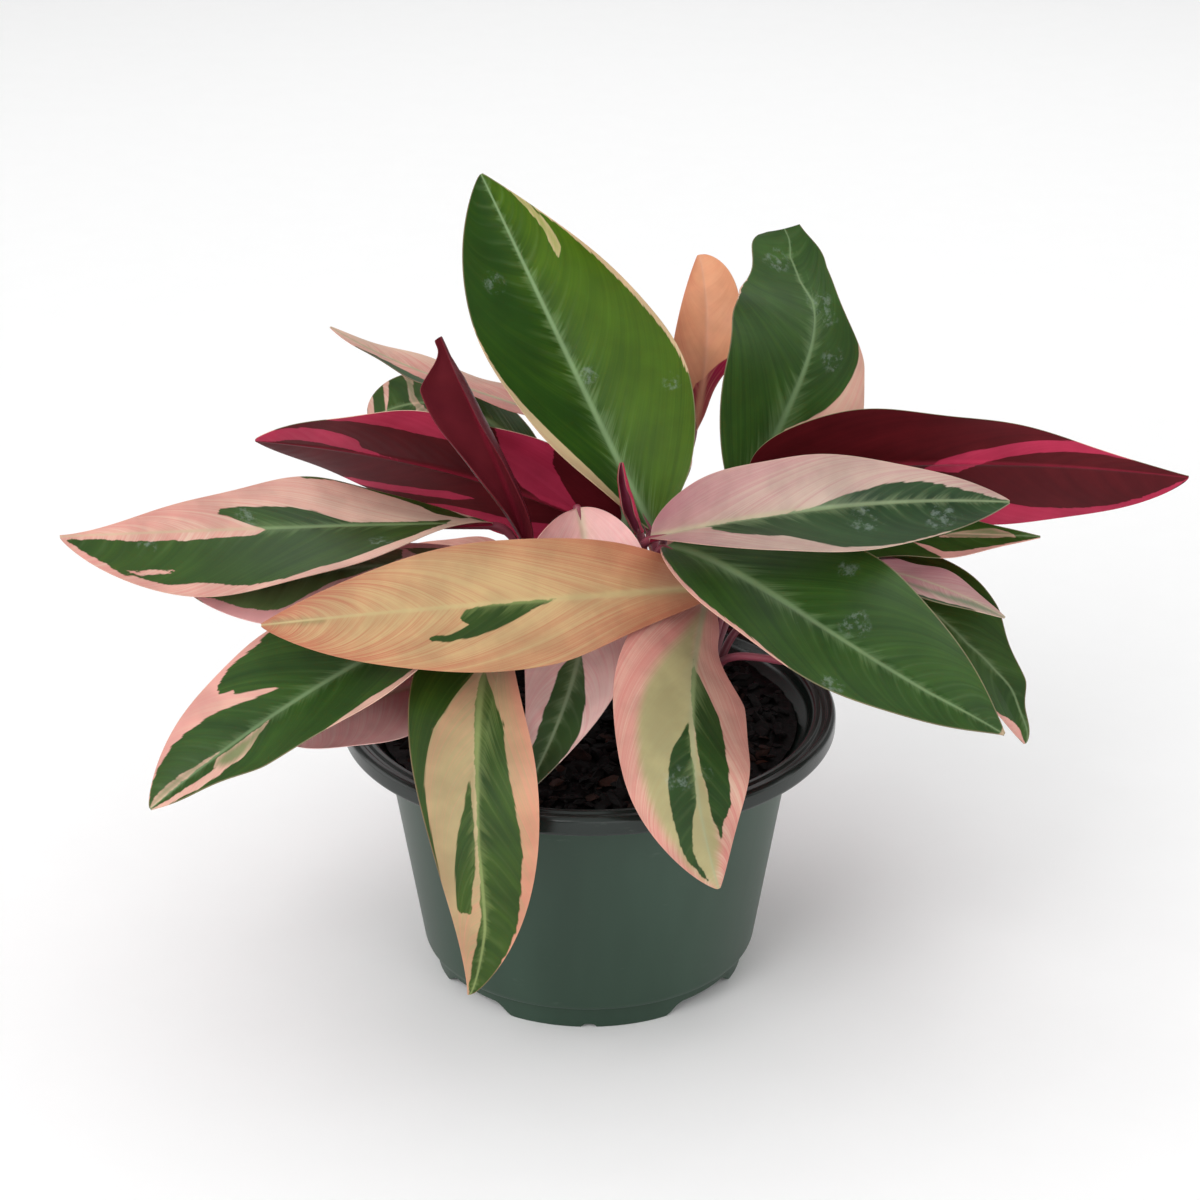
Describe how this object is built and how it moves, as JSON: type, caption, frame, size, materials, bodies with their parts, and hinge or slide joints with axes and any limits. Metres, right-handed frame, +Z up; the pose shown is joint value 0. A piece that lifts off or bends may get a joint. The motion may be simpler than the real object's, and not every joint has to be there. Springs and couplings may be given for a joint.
{
  "type": "potted stromanthe plant",
  "caption": "Bushy prayer plant with lance-shaped leaves patterned in green, cream and pink, maroon beneath, growing from bark mix in a squat green nursery pot.",
  "frame": {"origin": "on the surface that the pot stands on, under the middle of the plant's outline seen from above", "axes": "+Z up, -Y to the front of the plant, +X to its right-hand side"},
  "size_m": [0.4402, 0.3092, 0.3165],
  "materials": {
    "pot": "satin moulded plastic, dark grey-green",
    "potting_mix": "moist bark and peat",
    "leaf_green": "satin leaf, green with pale midrib and cream and pink patches, maroon beneath",
    "leaf_peach": "satin leaf, peach and cream, pink beneath",
    "leaf_salmon": "satin leaf, salmon pink with cream and green, pink beneath",
    "leaf_blush": "satin leaf, pale pink with green sectors, maroon and pink beneath",
    "leaf_magenta": "satin rolled young leaf, magenta",
    "leaf_underside": "satin leaf seen from below, maroon with hot pink bands"
  },
  "bodies": {
    "root": {"pot": "pot", "potting_mix": "potting_mix", "leaf_tall_green": "leaf_green", "leaf_upright_right": "leaf_green", "leaf_young_peach": "leaf_peach", "leaf_centre_spear": "leaf_magenta", "leaf_rolled_maroon": "leaf_underside", "leaf_left_underside": "leaf_underside", "leaf_back_left_blush": "leaf_blush", "leaf_back_left_green": "leaf_green", "leaf_left_long": "leaf_green", "leaf_left_lower": "leaf_green", "leaf_low_left": "leaf_green", "leaf_low_left_blush": "leaf_blush", "leaf_front_peach": "leaf_peach", "leaf_centre_arching": "leaf_blush", "leaf_hanging_left": "leaf_green", "leaf_hanging_right": "leaf_salmon", "leaf_right_pink": "leaf_blush", "leaf_far_right_underside": "leaf_underside", "leaf_right_second": "leaf_green", "leaf_right_front_green": "leaf_green", "leaf_right_narrow": "leaf_blush", "leaf_right_drooping": "leaf_green", "leaf_right_hidden": "leaf_green", "leaf_rear_middle": "leaf_green", "leaf_rear_right": "leaf_green", "leaf_rear_left": "leaf_green", "leaf_rear_low_right": "leaf_green", "leaf_rear_low_left": "leaf_green"}
  },
  "joints": []
}
